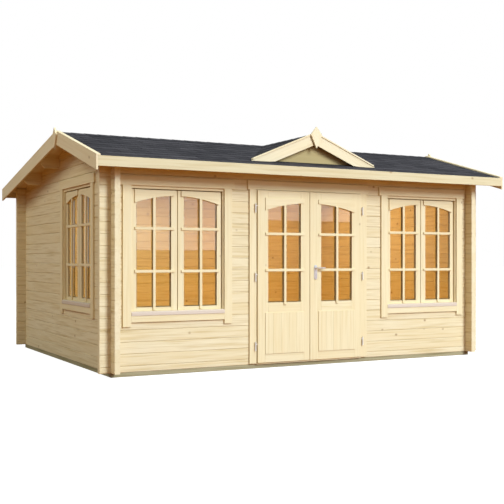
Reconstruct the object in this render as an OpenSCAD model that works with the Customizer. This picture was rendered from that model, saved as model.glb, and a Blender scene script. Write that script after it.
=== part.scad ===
// Log cabin with an off-centre saddle roof, a small dormer over a double
// door, two front windows and one gable window.
// Millimetres. X runs along the front, Y from the front to the rear, Z up.
// The origin is on the ground, at the centre of the roof's outline.

/* [Log walls] */
// Width over the outer faces of the gable walls
cabin_w = 4640; // [4400:20:5600]
// Depth over the outer faces of the front and rear walls
cabin_d = 3500; // [2900:20:4300]
// Thickness of a log
log_t = 58; // [44:1:70]
// Height of one log course
course_h = 121; // [100:1:146]
// How far the log ends pass the wall that they cross
log_end = 117; // [80:1:150]
// Depth of the V groove at each joint between logs
groove = 3; // [1:0.5:5]

/* [Base] */
// Height of the foundation beams
base_h = 45; // [35:1:60]
// Width of a foundation beam
beam_w = 70; // [60:1:100]
// Setback of the beams from the outer wall faces
beam_inset = 5; // [0:1:10]
// Width of a joist
joist_w = 45; // [38:1:60]
// Number of joists between the gable walls
joist_count = 7; // [3:2:11]
// Thickness of the floor boards
floor_t = 19; // [16:1:28]

/* [Roof] */
// Height of the roof surface at the ridge
ridge_z = 2570; // [2500:5:3000]
// Distance of the ridge behind the front wall's outer face
ridge_back = 1080; // [900:10:1400]
// Height of the roof surface at the front eave
front_eave_z = 2174; // [2160:1:2250]
// Height of the roof surface at the rear eave
rear_eave_z = 2112; // [2100:1:2250]
// Overhang of the roof at the front
front_over = 320; // [200:10:400]
// Overhang of the roof at the rear
rear_over = 210; // [150:10:300]
// Overhang of the roof past each gable wall
gable_over = 255; // [200:5:320]
// Plumb thickness of the roof boards
roof_board = 20; // [16:1:26]
// Plumb thickness of the shingle covering
cover_t = 8; // [4:1:12]
// Height of a fascia board
fascia_h = 100; // [80:1:140]
// Thickness of the fascias, bargeboards and finials
board_t = 19; // [16:1:25]
// Plumb depth of a bargeboard
barge_h = 138; // [110:1:160]
// Width of the strip that covers the roof's edge
strip_w = 45; // [35:1:60]
// Plumb thickness of that strip
strip_t = 16; // [12:1:24]
// Width of a purlin
purlin_w = 58; // [44:1:70]
// Depth of a purlin below the roof boards
purlin_h = 150; // [120:1:180]
// Height and length of the corner cut from a purlin's end
purlin_cut = 67.5; // [50:0.5:90]
// Number of purlins between the ridge and the rear wall
purlin_count = 2; // [1:1:3]

/* [Dormer] */
// Distance of the dormer's front before the front wall's face
dormer_out = 137; // [80:1:170]
// Rise of the dormer roof for each unit of its run
dormer_slope = 0.415; // [0.38:0.005:0.46]
// Setback of the dormer's panel behind its bargeboards
panel_back = 70; // [40:1:100]
// Plumb depth of a dormer bargeboard
dormer_barge_h = 122; // [100:1:140]

/* [Finials] */
// Width of a finial
finial_w = 145; // [110:1:160]
// Height of a finial
finial_h = 238; // [210:1:280]
// Distance from a finial's tip to its widest place
finial_shoulder = 88; // [70:1:120]
// How far the gable finials stand above the ridge surface
gable_finial_up = 50; // [40:1:90]
// How far the dormer's finial stands above the ridge surface
dormer_finial_up = 74; // [50:1:90]

/* [Windows] */
// Distance of the front windows from the cabin's centre line
window_x = 1588; // [1440:1:1700]
// Distance of the gable window's centre behind the front wall's face
window_y = 1125; // [900:5:1700]
// Width of a window between its linings
window_w = 1016; // [800:2:1100]
// Height of the sill that the sashes stand on, on the front
sill_z = 657; // [600:1:800]
// Height of a window between its sill and head
window_h = 1244; // [1000:1:1250]
// Thickness of the linings beside the sashes
lining_t = 28; // [20:1:36]
// Depth of the head lining and of the sill below the sashes
head_t = 40; // [30:1:50]
// Depth of the sill piece down to the log below
sill_t = 67; // [50:1:90]
// Step from the sill down to the drip rail
sill_step = 2; // [0:0.5:6]
// How far the drip rail stands out from the wall face
drip_out = 34; // [25:1:50]
// Height of the drip rail
drip_h = 43; // [30:1:50]
// Thickness of the trim boards
trim_t = 20; // [16:1:24]
// Width of the window's side trims
trim_w = 90; // [70:1:100]
// Step from the lining's inner face to the trim's edge
trim_step = 14; // [6:1:20]
// Height of the header trims
header_h = 95; // [80:1:110]
// Overhang of a window header past its side trims
header_over = 30; // [10:1:40]
// How far the window's side trims run below the sill board
trim_drop = 45; // [0:1:60]
// Height of the board below the drip rail
sill_board_h = 67; // [50:1:90]
// Setback of the sashes behind the wall face
sash_back = 25; // [10:1:30]
// Thickness of a sash
sash_t = 32; // [28:1:40]
// Width of an outer sash stile and of the bottom rail
stile_w = 50; // [40:1:60]
// Height of a sash's bottom rail
rail_h = 36; // [30:1:60]
// Width of a sash stile where the two sashes meet
meeting_w = 68; // [50:1:80]
// Gap between the two sashes
sash_gap = 5; // [2:1:8]
// Gap between a sash and its lining
lining_gap = 3; // [1:0.5:6]
// Height of the sash arch's crown below the sash's top
arch_drop = 56; // [40:1:90]
// Radius of the window arch
arch_r = 1440; // [1200:10:2200]

/* [Door] */
// Clear width between the door's linings
door_w = 1362; // [1200:2:1400]
// Height of the lining's head above the ground
door_top = 1936; // [1850:1:1960]
// Thickness of the door's linings
door_lining_t = 32; // [25:1:45]
// Height of the threshold's top above the ground
threshold_z = 56; // [50:1:70]
// Width of the door's side trims
door_trim_w = 84; // [60:1:100]
// Height of the door header trim
door_header_h = 98; // [80:1:110]
// Overhang of the door header past the side trims
door_header_over = 20; // [10:1:40]
// Gap around and behind a door leaf
leaf_gap = 6; // [5:0.5:8]
// Gap between the two leaves
meeting_gap = 7; // [7:0.5:10]
// Offset of the meeting line from the cabin's centre line
meeting_x = -17; // [-30:1:0]
// Thickness of a door leaf
leaf_t = 40; // [36:1:50]
// How far a leaf's face stands out from the trims
leaf_proud = 18; // [10:1:24]
// Depth of the door stop behind the leaves
stop_w = 15; // [10:1:20]
// Width of an outer door stile
door_stile = 90; // [80:1:110]
// Distance of a panel's inner edge from the cabin's centre line
panel_in = 95; // [85:1:110]
// Height of a leaf's bottom rail
bottom_rail = 92; // [80:1:120]
// Height of the bottom panel
panel_h = 449; // [350:1:500]
// Thickness of the bottom panel
panel_t = 18; // [12:1:24]
// How far the bottom panel stands out from the leaf's face
panel_proud = 8; // [4:1:10]
// Width of the bead between panel frame and glass
bead_w = 38; // [20:1:45]
// Height of the rail between panel and glass
lock_rail = 109; // [90:1:140]
// Height of the door arch's crown below the leaf's top
door_arch_drop = 126; // [100:1:150]
// Radius of the door arch
door_arch_r = 1950; // [1600:10:2600]

/* [Glass] */
// Thickness of the glass
glass_t = 4; // [3:1:6]
// How far the glass reaches behind the wood around it
rebate = 12; // [8:1:15]
// Play between glass and wood at the edges
glass_play = 2; // [1:0.5:3]

/* [Door furniture] */
// Radius of a hinge barrel
barrel_r = 7; // [6:0.5:8]
// Height of a whole hinge
hinge_h = 96; // [70:1:120]
// Radius of a hinge pin
pin_r = 3.5; // [3:0.5:4]
// Radial clearance of pins and spindles
pin_play = 0.05; // [0.02:0.01:0.1]
// Radius of the screw that holds a hinge barrel
screw_r = 4; // [3:0.5:5]
// Distance of a pin's end below the top of its hinge
pin_end = 4; // [2:1:10]
// Distance of the hinge axis outside the leaf's edge
axis_out = 25; // [20:0.5:30]
// Distance of the hinge axis behind the leaf's face
axis_in = 4; // [4:0.5:6]
// Height of the lower, middle and upper hinge centres
hinge_z = [242, 991, 1736];
// Distance of the lever's axis from the leaf's meeting edge
lever_in = 70; // [60:1:90]
// Height of the lever's axis
lever_z = 1085; // [1000:5:1100]
// Length of the lever
lever_l = 104; // [90:1:130]
// Radius of the lever's bar
lever_r = 8; // [6:0.5:10]
// Distance of the lever's bar from the plate
lever_out = 42; // [35:1:50]
// Width of the handle plate
plate_w = 40; // [34:1:46]
// Height of the handle plate
plate_h = 165; // [140:1:220]
// Height of the plate's top above the lever's axis
plate_up = 35; // [30:1:60]
// Thickness of the handle plate
plate_t = 8; // [6:1:10]

/* [Hidden] */
$fn = 48;
far = 9000;
through = 90;
seam = 0.001;
seat_gap = 0.02;
half_w = cabin_w / 2;
front_y = -(cabin_d + rear_over - front_over) / 2;
rear_y = front_y + cabin_d;
ridge_y = front_y + ridge_back;
eave_front = front_y - front_over;
eave_rear = rear_y + rear_over;
slope_front = (ridge_z - front_eave_z) / (ridge_y - eave_front);
slope_rear = (ridge_z - rear_eave_z) / (eave_rear - ridge_y);
roof_t = roof_board + cover_t;
barge_x = half_w + gable_over - board_t;
verge_x = half_w + gable_over;
purlin_step = (rear_y - log_t / 2 - ridge_y) / (purlin_count + 1);
dormer_y = front_y - dormer_out;
dormer_reach = half_w / 2;
open_half = window_w / 2 + lining_t;
trim_in = window_w / 2 + trim_step;
trim_out = trim_in + trim_w;
window_top = sill_z + window_h;
header_z = window_top + lining_t;
drip_top = sill_z - sill_step;
sill_board_z = drip_top - drip_h - sill_board_h;
arch_z = window_top - lining_gap - arch_drop - arch_r;
door_half = door_w / 2;
door_cut = door_half + door_lining_t;
door_cut_top = door_top + door_lining_t;
leaf_edge = door_half - leaf_gap;
leaf_z = threshold_z + leaf_gap;
leaf_top = door_top - leaf_gap;
leaf_y = front_y - trim_t - leaf_proud;
glass_z = leaf_z + bottom_rail + panel_h + lock_rail;
door_arch_z = leaf_top - door_arch_drop - door_arch_r;
axis_x = leaf_edge + axis_out;
axis_y = leaf_y + axis_in;
lever_x = meeting_x + meeting_gap / 2 + lever_in;
lever_play = 0.3;
knuckle_gap = 0.2;
pine = "burlywood";
trim_tone = "wheat";
slate = "dimgray";

// ---------- helpers ----------

// A box given by its lowest and highest corners
module block(low, high) {
    translate(low) cube(high - low);
}

// A Y-Z outline carried along X
module along_x(x0, x1) {
    translate([x0, 0, 0]) rotate([90, 0, 90]) linear_extrude(x1 - x0) children();
}

// An X-Z outline carried along Y
module along_y(y0, y1) {
    translate([0, y1, 0]) rotate([90, 0, 0]) linear_extrude(y1 - y0) children();
}

// Both mirror halves of a shape about the cabin's centre line
module both_sides() {
    children();
    mirror([1, 0, 0]) children();
}

// ---------- roof geometry ----------

// Height of the roof's surface above a place y
function roof_z(y) = y < ridge_y ? front_eave_z + slope_front * (y - eave_front)
    : rear_eave_z + slope_rear * (eave_rear - y);

// Outline of a roof layer between two places and two plumb depths
module layer(y0, y1, d0, d1) {
    polygon([[y0, roof_z(y0) - d0], [y1, roof_z(y1) - d0],
             [y1, roof_z(y1) - d1], [y0, roof_z(y0) - d1]]);
}

// Everything below the roof's surface, less a plumb depth
module below_roof(depth) {
    along_x(-far, far) polygon([[-far, -far], [-far, roof_z(-far) - depth],
        [ridge_y, ridge_z - depth], [far, roof_z(far) - depth], [far, -far]]);
}

// Outline of an inverted V below the dormer's surface
module dormer_outline(d0, d1, half) {
    polygon([[-half, ridge_z - dormer_slope * half - d0], [0, ridge_z - d0],
             [half, ridge_z - dormer_slope * half - d0],
             [half, ridge_z - dormer_slope * half - d1], [0, ridge_z - d1],
             [-half, ridge_z - dormer_slope * half - d1]]);
}

// ---------- log walls ----------

// Section through a stack of logs, with its first joint at a height
module log_stack(first) {
    top = ridge_z;
    joints = [for (z = first; z < top - course_h / 4; z = z + course_h) z];
    last = len(joints) - 1;
    polygon(concat([[0, base_h]],
        [for (z = joints) each [[0, z - groove], [groove, z], [0, z + groove]]],
        [[0, top], [log_t, top]],
        [for (i = [last:-1:0]) let (z = joints[i])
            each [[log_t, z + groove], [log_t - groove, z], [log_t, z - groove]]],
        [[log_t, base_h]]));
}

// Laps cut from a log stack where the crossing logs pass
module laps(x, y, shift) {
    count = ceil(ridge_z / course_h);
    for (i = [0:count]) {
        translate([x, y, base_h + course_h * (i + shift)])
            cube([log_t, log_t, course_h / 2]);
    }
}

// Logs that run along X, their first course half as high
module logs_x(y0, x0, x1) {
    difference() {
        intersection() {
            along_x(x0, x1) translate([y0, 0]) log_stack(base_h + course_h / 2);
            below_roof(roof_t + seat_gap);
        }
        laps(-half_w, y0, 0.25);
        laps(half_w - log_t, y0, 0.25);
    }
}

// Logs that run along Y, up into the gable, with the purlins' seats
module logs_y(x0) {
    difference() {
        intersection() {
            along_y(front_y - log_end, rear_y + log_end)
                translate([x0, 0]) log_stack(base_h + course_h);
            below_roof(roof_t + seat_gap);
        }
        laps(x0, front_y, -0.25);
        laps(x0, rear_y - log_t, -0.25);
        for (i = [0:purlin_count]) purlin_blank(ridge_y + i * purlin_step);
    }
}

module window_cut(i) {
    at_window(i) block([-open_half, -through, sill_z - sill_t],
                       [open_half, log_t + through, window_top + head_t]);
}

// Front logs, with both windows and the doorway cut
module front_logs(x0, x1) {
    difference() {
        logs_x(front_y, x0, x1);
        window_cut(0);
        window_cut(1);
    }
}

module front_wall_left() {
    color(pine) front_logs(-half_w - log_end, -door_cut);
}

module front_wall_right() {
    color(pine) front_logs(door_cut, half_w + log_end);
}

module front_wall_over_door() {
    color(pine) intersection() {
        front_logs(-door_cut, door_cut);
        block([-door_cut, -far, door_cut_top], [door_cut, far, far]);
    }
}

module rear_wall() {
    color(pine) logs_x(rear_y - log_t, -half_w - log_end, half_w + log_end);
}

module left_gable_wall() {
    color(pine) difference() {
        logs_y(-half_w);
        window_cut(2);
    }
}

module right_gable_wall() {
    color(pine) logs_y(half_w - log_t);
}

// ---------- base ----------

module foundation_frame() {
    edge = [half_w - beam_inset, cabin_d / 2 - beam_inset];
    inner = edge - [beam_w, beam_w];
    step = 2 * inner[0] / (joist_count + 1);
    color("darkkhaki") translate([0, front_y + cabin_d / 2, 0]) {
        difference() {
            block([-edge[0], -edge[1], 0], [edge[0], edge[1], base_h]);
            block([-inner[0], -inner[1], -base_h], [inner[0], inner[1], 2 * base_h]);
        }
        for (i = [1:joist_count]) {
            x = -inner[0] + i * step;
            block([x - joist_w / 2, -inner[1], 0], [x + joist_w / 2, inner[1], base_h]);
        }
    }
}

module floor_boards() {
    color(trim_tone) block([-half_w + log_t, front_y + log_t, base_h],
                           [half_w - log_t, rear_y - log_t, base_h + floor_t]);
}

// ---------- roof ----------

// A purlin with its end corners cut, before its top is planed to the roof
module purlin_blank(y) {
    low = roof_z(y) - roof_t - purlin_h;
    along_y(y - purlin_w / 2, y + purlin_w / 2)
        polygon([[-barge_x + purlin_cut, low], [barge_x - purlin_cut, low],
                 [barge_x, low + purlin_cut], [barge_x, ridge_z],
                 [-barge_x, ridge_z], [-barge_x, low + purlin_cut]]);
}

module purlin(y) {
    intersection() {
        purlin_blank(y);
        below_roof(roof_t + seat_gap);
    }
}

module ridge_purlin() {
    color(pine) purlin(ridge_y);
}

module rear_purlins() {
    color(pine) for (i = [1:purlin_count]) purlin(ridge_y + i * purlin_step);
}

module roof_boards_front() {
    color(trim_tone) along_x(-barge_x, barge_x)
        layer(eave_front + board_t, ridge_y - seam, cover_t, roof_t);
}

module roof_boards_rear() {
    color(trim_tone) along_x(-barge_x, barge_x)
        layer(ridge_y, eave_rear - board_t, cover_t, roof_t);
}

module roof_covering_front() {
    color(slate) along_x(-barge_x, barge_x)
        layer(eave_front + board_t, ridge_y - seam, 0, cover_t);
}

module roof_covering_rear() {
    color(slate) along_x(-barge_x, barge_x)
        layer(ridge_y, eave_rear - board_t, 0, cover_t);
}

module front_fascia() {
    color(trim_tone) block([-barge_x, eave_front, front_eave_z - fascia_h],
                           [barge_x, eave_front + board_t, front_eave_z]);
}

module rear_fascia() {
    color(trim_tone) block([-barge_x, eave_rear - board_t, rear_eave_z - fascia_h],
                           [barge_x, eave_rear, rear_eave_z]);
}

// The two boards of one gable, which meet at the ridge
module bargeboards() {
    color(trim_tone) along_x(barge_x, verge_x) {
        layer(eave_front, ridge_y - seam, 0, barge_h);
        layer(ridge_y - seam, eave_rear, 0, barge_h);
    }
}

module left_bargeboards() {
    mirror([1, 0, 0]) bargeboards();
}

module right_bargeboards() {
    bargeboards();
}

// The strips that close the roof's edge on both gables
module verge_strips() {
    color(trim_tone) both_sides() along_x(verge_x - strip_w, verge_x) {
        layer(eave_front, ridge_y - seam, -strip_t, -seat_gap);
        layer(ridge_y - seam, eave_rear, -strip_t, -seat_gap);
    }
}

// Outline of a finial with its tip above the roof's ridge
module finial_outline(up) {
    tip = ridge_z + up;
    polygon([[0, tip], [finial_w / 2, tip - finial_shoulder],
             [0, tip - finial_h], [-finial_w / 2, tip - finial_shoulder]]);
}

module gable_finials() {
    color(trim_tone) both_sides() along_x(verge_x, verge_x + board_t)
        translate([ridge_y, 0]) finial_outline(gable_finial_up);
}

// ---------- dormer ----------

// Keeps what stands above the main roof's surface
module above_roof() {
    difference() {
        children();
        below_roof(0);
    }
}

module dormer_panel() {
    y = dormer_y + board_t + panel_back;
    color(trim_tone) above_roof() along_y(y, y + board_t)
        polygon([[-half_w, ridge_z - roof_t - dormer_slope * half_w],
                 [0, ridge_z - roof_t],
                 [half_w, ridge_z - roof_t - dormer_slope * half_w]]);
}

module dormer_roof_boards() {
    color(trim_tone) above_roof() along_y(dormer_y + board_t, ridge_y - 1)
        dormer_outline(cover_t, roof_t, dormer_reach);
}

module dormer_covering() {
    color(slate) above_roof() along_y(dormer_y + board_t, ridge_y - 1)
        dormer_outline(0, cover_t, dormer_reach);
}

module dormer_bargeboards() {
    color(trim_tone) above_roof() along_y(dormer_y, dormer_y + board_t)
        dormer_outline(0, dormer_barge_h, dormer_reach);
}

module dormer_verge_strips() {
    end = (ridge_z - roof_z(dormer_y)) / dormer_slope - strip_t;
    color(trim_tone) above_roof() along_y(dormer_y, dormer_y + strip_w)
        dormer_outline(-strip_t, -seat_gap, end);
}

module dormer_finial() {
    color(trim_tone) along_y(dormer_y - board_t, dormer_y)
        finial_outline(dormer_finial_up);
}

// ---------- windows ----------

// Carries a window from the middle of its wall face to its place:
// 0 is front left, 1 front right, and 2 in the left gable
module at_window(i) {
    if (i == 0) translate([-window_x, front_y, 0]) children();
    if (i == 1) translate([window_x, front_y, 0]) children();
    if (i == 2) translate([-half_w, front_y + window_y, course_h / 2])
        rotate([0, 0, -90]) children();
}

// Linings, head and sill with its drip rail
module window_frame() {
    color(trim_tone) {
        difference() {
            block([-open_half, 0, sill_z - sill_t],
                  [open_half, log_t, window_top + head_t]);
            block([-window_w / 2, -1, sill_z],
                  [window_w / 2, log_t + 1, window_top]);
        }
        block([-trim_in, -drip_out, drip_top - drip_h], [trim_in, 0, drip_top]);
    }
}

// Trim boards on the wall around a window
module window_trim() {
    color(trim_tone) {
        for (side = [0, 1]) mirror([side, 0, 0])
            block([trim_in, -trim_t, sill_board_z - trim_drop],
                  [trim_out, 0, header_z]);
        block([-trim_out - header_over, -trim_t, header_z],
              [trim_out + header_over, 0, header_z + header_h]);
        block([-trim_in, -trim_t, sill_board_z],
              [trim_in, 0, sill_board_z + sill_board_h]);
    }
}

// The right sash, its glass opening closed above by half of the arch
module sash() {
    x0 = sash_gap / 2;
    x1 = window_w / 2 - lining_gap;
    glass = [[x0 + meeting_w, sill_z + rail_h], [x1 - stile_w, window_top]];
    front = sash_back + sash_t / 2;
    difference() {
        block([x0, sash_back, sill_z], [x1, sash_back + sash_t, window_top - lining_gap]);
        along_y(sash_back - 1, sash_back + sash_t + 1) intersection() {
            translate(glass[0]) square(glass[1] - glass[0]);
            translate([0, arch_z]) circle(arch_r, $fn = 360);
        }
        block([glass[0][0] - rebate, front, glass[0][1] - rebate],
              [glass[1][0] + rebate, sash_back + sash_t + 1,
               window_top - arch_drop + rebate]);
    }
}

module window_sashes() {
    color(trim_tone) both_sides() sash();
}

// The pane of the right sash, against the wood before it
module window_pane() {
    front = sash_back + sash_t / 2;
    margin = rebate - glass_play;
    x0 = sash_gap / 2 + meeting_w - margin;
    x1 = window_w / 2 - lining_gap - stile_w + margin;
    block([x0, front, sill_z + rail_h - margin],
          [x1, front + glass_t, window_top - arch_drop + margin]);
}

module window_trims() {
    for (i = [0:2]) at_window(i) window_trim();
}

module window_glass() {
    color("orange", 0.6) for (i = [0:2]) at_window(i) both_sides() window_pane();
}

// ---------- door ----------

// Linings with a stop behind the leaves, and the threshold
module door_frame() {
    stop_y = leaf_y + leaf_t + leaf_gap;
    color(trim_tone) {
        difference() {
            block([-door_cut, front_y, base_h + floor_t],
                  [door_cut, front_y + log_t, door_cut_top]);
            block([-door_half, front_y - 1, 0], [door_half, stop_y, door_top]);
            block([-door_half + stop_w, front_y, 0],
                  [door_half - stop_w, front_y + log_t + 1, door_top - stop_w]);
        }
        block([-door_cut, front_y - trim_t, base_h],
              [door_cut, front_y + log_t, threshold_z]);
        for (side = [0, 1]) mirror([side, 0, 0])
            block([door_half, front_y, base_h], [door_cut, front_y + log_t, base_h + floor_t]);
    }
}

module door_trim() {
    outer = door_half + door_trim_w;
    y = [front_y - trim_t, front_y];
    color(trim_tone) {
        both_sides() block([door_half, y[0], threshold_z], [outer, y[1], door_top]);
        block([-outer - door_header_over, y[0], door_top],
              [outer + door_header_over, y[1], door_top + door_header_h]);
    }
}

// Places of a leaf's edges, panel and glass: side -1 is left, 1 right
function leaf_x(side) = side < 0 ? [-leaf_edge, meeting_x - meeting_gap / 2]
    : [meeting_x + meeting_gap / 2, leaf_edge];
function panel_x(side) = side < 0
    ? [-leaf_edge + door_stile, -panel_in] : [panel_in, leaf_edge - door_stile];
function glass_x(side) = panel_x(side) + [bead_w, -bead_w];

module door_leaf(side) {
    edge = leaf_x(side);
    panel = panel_x(side);
    glass = glass_x(side);
    panel_z = leaf_z + bottom_rail;
    back = leaf_y + leaf_t;
    color(trim_tone) difference() {
        union() {
            block([edge[0], leaf_y, leaf_z], [edge[1], back, leaf_top]);
            block([panel[0], leaf_y - panel_proud, panel_z],
                  [panel[1], back, panel_z + panel_h]);
        }
        block([panel[0], leaf_y - panel_proud + panel_t, panel_z],
              [panel[1], back + 1, panel_z + panel_h]);
        along_y(leaf_y - 1, back + 1) intersection() {
            translate([glass[0], glass_z]) square([glass[1] - glass[0], leaf_top - glass_z]);
            translate([0, door_arch_z]) circle(door_arch_r, $fn = 360);
        }
        block([glass[0] - rebate, leaf_y + leaf_t / 2, glass_z - rebate],
              [glass[1] + rebate, back + 1, leaf_top - door_arch_drop + rebate]);
    }
}

module door_pane(side) {
    glass = glass_x(side);
    margin = rebate - glass_play;
    y = leaf_y + leaf_t / 2;
    color("orange", 0.6) block([glass[0] - margin, y, glass_z - margin],
        [glass[1] + margin, y + glass_t, leaf_top - door_arch_drop + margin]);
}

// ---------- door furniture ----------

module hinge_pin(z) {
    half = hinge_h / 2;
    translate([axis_x, axis_y, z]) {
        translate([0, 0, -half]) cylinder(r = barrel_r, h = half - knuckle_gap);
        translate([0, 0, -half]) cylinder(r = pin_r, h = hinge_h - pin_end);
        translate([0, 0, -half / 2]) rotate([-90, 0, 0])
            cylinder(r = screw_r, h = front_y - trim_t - axis_y);
    }
}

module hinge_knuckle(z) {
    half = hinge_h / 2;
    translate([axis_x, axis_y, z]) difference() {
        union() {
            translate([0, 0, knuckle_gap]) cylinder(r = barrel_r, h = half - knuckle_gap);
            translate([0, 0, half / 2]) rotate([0, -90, 0])
                cylinder(r = axis_in - knuckle_gap, h = axis_out);
        }
        translate([0, 0, -1]) cylinder(r = pin_r + pin_play, h = half - 1);
    }
}

module door_hinge_pins() {
    color("silver") for (z = hinge_z) both_sides() hinge_pin(z);
}

module hinge_knuckles() {
    color("silver") for (z = hinge_z) hinge_knuckle(z);
}

module handle_plate() {
    r = plate_w / 2;
    low = lever_z + plate_up - plate_h + r;
    high = lever_z + plate_up - r;
    color("silver") translate([lever_x, leaf_y, 0]) difference() {
        union() {
            block([-r, -plate_t, low], [r, 0, high]);
            for (z = [low, high]) translate([0, 0, z]) rotate([90, 0, 0])
                cylinder(r = r, h = plate_t);
        }
        translate([0, 1, lever_z]) rotate([90, 0, 0])
            cylinder(r = lever_r + pin_play, h = plate_t + 2);
    }
}

module door_lever() {
    reach = plate_t + lever_out;
    color("silver") translate([lever_x, leaf_y, lever_z]) {
        translate([0, -lever_play, 0]) rotate([90, 0, 0])
            cylinder(r = lever_r, h = reach - lever_play + lever_r);
        translate([0, -reach, 0]) rotate([0, 90, 0]) cylinder(r = lever_r, h = lever_l);
    }
}

// ---------- nodes ----------

foundation_frame();
floor_boards();  // floor
front_wall_left();
front_wall_right();
front_wall_over_door();
left_gable_wall();
right_gable_wall();
rear_wall();
ridge_purlin();
rear_purlins();
roof_boards_front();
roof_boards_rear();
roof_covering_front();
roof_covering_rear();
front_fascia();
rear_fascia();
left_bargeboards();
right_bargeboards();
verge_strips();
gable_finials();
dormer_panel();
dormer_roof_boards();
dormer_covering();
dormer_bargeboards();
dormer_verge_strips();
dormer_finial();
at_window(0) window_frame();  // left_window_frame
at_window(1) window_frame();  // right_window_frame
at_window(2) window_frame();  // gable_window_frame
at_window(0) window_sashes();  // left_window_sashes
at_window(1) window_sashes();  // right_window_sashes
at_window(2) window_sashes();  // gable_window_sashes
window_trims();
window_glass();
door_frame();
door_trim();
door_leaf(-1);  // left_door_leaf
door_leaf(1);  // right_door_leaf
door_pane(-1);  // left_door_glass
door_pane(1);  // right_door_glass
door_hinge_pins();
mirror([1, 0, 0]) hinge_knuckles();  // left_hinge_knuckles
hinge_knuckles();  // right_hinge_knuckles
handle_plate();
door_lever();
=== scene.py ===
# %% [markdown]
# # A log cabin, timber by timber
# The cabin's measured solids are loaded first and stay as they are. Each one is then
# replaced by what a joiner would put there: single logs, boards, stiles, bars and
# shingles, all worked out as arrays of points. Everything is in metres: X runs along the
# front, Y from the front to the rear, and Z up.

# %% Load the frame
import itertools
import math
import bpy
import numpy as np
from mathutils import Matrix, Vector


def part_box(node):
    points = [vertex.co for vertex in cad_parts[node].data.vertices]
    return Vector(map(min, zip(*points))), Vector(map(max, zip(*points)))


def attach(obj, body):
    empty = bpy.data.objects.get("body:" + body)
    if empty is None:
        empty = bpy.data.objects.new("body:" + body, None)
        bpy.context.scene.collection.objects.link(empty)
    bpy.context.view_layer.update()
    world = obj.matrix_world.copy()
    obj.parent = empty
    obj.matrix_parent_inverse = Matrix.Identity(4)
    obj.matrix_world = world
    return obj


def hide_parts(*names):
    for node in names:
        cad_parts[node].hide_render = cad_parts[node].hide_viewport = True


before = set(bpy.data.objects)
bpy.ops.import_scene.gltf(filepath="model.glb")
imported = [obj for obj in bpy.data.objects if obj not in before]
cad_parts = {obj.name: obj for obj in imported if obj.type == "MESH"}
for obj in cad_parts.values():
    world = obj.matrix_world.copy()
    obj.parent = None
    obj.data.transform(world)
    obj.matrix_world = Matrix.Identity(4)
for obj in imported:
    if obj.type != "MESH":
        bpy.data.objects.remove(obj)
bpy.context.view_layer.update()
chance = np.random.default_rng(58)

# %% [markdown]
# ## Sizes that come from the frame
# The boxes of the measured solids give every overall size, so a change in the measured
# model moves the timbers with it. Only sizes that no box can show, such as the height of
# a log, are named as numbers.

# %% Read the sizes
def box(node):
    """Lowest and highest corner of a measured solid, as two arrays."""
    low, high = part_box(node)
    return np.array(low), np.array(high)


over_door = box("front_wall_over_door")
FRONT = over_door[0][1]
LOG = over_door[1][1] - FRONT
REAR = box("rear_wall")[1][1]
HALF = box("right_gable_wall")[1][0]
END = box("rear_wall")[1][0] - HALF
BASE = box("foundation_frame")[1][2]
COURSE = 0.121
RIDGE_Y, RIDGE_Z = box("ridge_purlin")[0][1] + LOG / 2, box("roof_covering_front")[1][2]
EAVE_FRONT, EAVE_FRONT_Z = box("front_fascia")[0][1], box("front_fascia")[1][2]
EAVE_REAR, EAVE_REAR_Z = box("rear_fascia")[1][1], box("rear_fascia")[1][2]
VERGE = box("right_bargeboards")[1][0]
BARGE = box("right_bargeboards")[0][0]
BOARD = VERGE - BARGE
COVER = 0.008
UNDER = 0.028
SLOPE_FRONT = (RIDGE_Z - EAVE_FRONT_Z) / (RIDGE_Y - EAVE_FRONT)
SLOPE_REAR = (RIDGE_Z - EAVE_REAR_Z) / (EAVE_REAR - RIDGE_Y)
print("wall faces", FRONT, REAR, HALF, "ridge", RIDGE_Y, RIDGE_Z, "slopes", SLOPE_FRONT, SLOPE_REAR)


def roof_z(y):
    """Height of the roof: the lower of two planes that meet at the ridge."""
    y = np.asarray(y, float)
    return np.minimum(EAVE_FRONT_Z + SLOPE_FRONT * (y - EAVE_FRONT),
                      EAVE_REAR_Z + SLOPE_REAR * (EAVE_REAR - y))


# %% [markdown]
# ## One way to make every timber
# A board could be a scaled cube with a Bevel modifier, but then notches, curved edges and
# mitres each need another tool. Here a timber is a closed section carried along an axis in
# stations. At each station the section is held between four limits, so a notch is two
# stations at the same place with different limits, and a curved edge is a limit that
# follows a curve. A lift moves whole stations, which tilts a board to the roof.
#
# Each timber also keeps the place of its points in its own log, as an attribute called
# grain: along the log, and across it from the heart. The wood finish reads it, so streaks
# run along each timber, rings show on its ends, and no two timbers are alike. A second
# attribute, ends, is 1 on the sawn ends, where the streaks are fainter.

# %% Sections and stations
def eased(width, height, ease, steps=2):
    """Rectangle with quarter-round corners: corner centre plus the ease times (cos, sin)."""
    ease = min(ease, width / 2.01, height / 2.01)
    turn = np.linspace(0, np.pi / 2, steps + 1)
    quarters = []
    for k, (b, c) in enumerate([(ease, ease), (width - ease, ease),
                                (width - ease, height - ease), (ease, height - ease)]):
        angle = turn + np.pi + k * np.pi / 2
        quarters.append(np.stack([b + ease * np.cos(angle), c + ease * np.sin(angle)], axis=1))
    return np.concatenate(quarters)


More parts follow.
